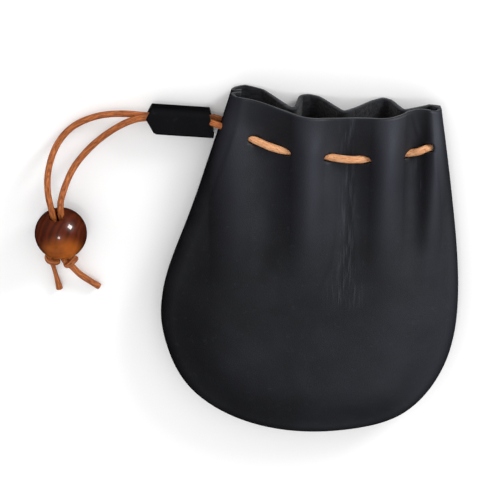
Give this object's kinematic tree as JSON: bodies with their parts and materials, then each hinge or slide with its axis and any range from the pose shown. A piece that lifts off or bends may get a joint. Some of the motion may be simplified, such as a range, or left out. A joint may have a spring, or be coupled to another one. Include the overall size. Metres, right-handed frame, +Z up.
{
  "type": "drawstring dice bag",
  "caption": "Soft leather drawstring pouch for dice, gathered at the mouth on a round cord, with a rolled leather slider and a wooden stop bead.",
  "frame": {"origin": "on the surface that the bag lies on, under the middle of the bag", "axes": "+X across the bag, away from the side where the cord comes out; +Y to the mouth; +Z up, away from the surface"},
  "size_m": [0.164, 0.1449, 0.0234],
  "materials": {
    "dark_leather": "soft matt grained leather",
    "thread": "waxed thread",
    "cord_leather": "round leather cord, natural brown",
    "slider_leather": "smooth black leather",
    "bead_wood": "glossy lacquer over dark red-brown wood"
  },
  "bodies": {
    "bag": {"front_panel": "dark_leather", "back_panel": "dark_leather", "seam_thread": "thread", "drawstring": "cord_leather", "strand_a": "cord_leather", "strand_b": "cord_leather", "knot_a": "cord_leather", "knot_b": "cord_leather"},
    "slider": {"slider": "slider_leather"},
    "bead": {"bead": "bead_wood"}
  },
  "joints": [
    {"name": "slider_slide", "type": "slide", "parent": "bag", "child": "slider", "axis": [-0.9976, 0.0698, 0], "range_m": [0, 0.009]},
    {"name": "bead_spin", "type": "hinge", "parent": "bag", "child": "bead", "pos_m": [-0.0957, 0.0165, 0.01], "axis": [-0.0969, 0.9221, 0.3746], "continuous": true}
  ]
}
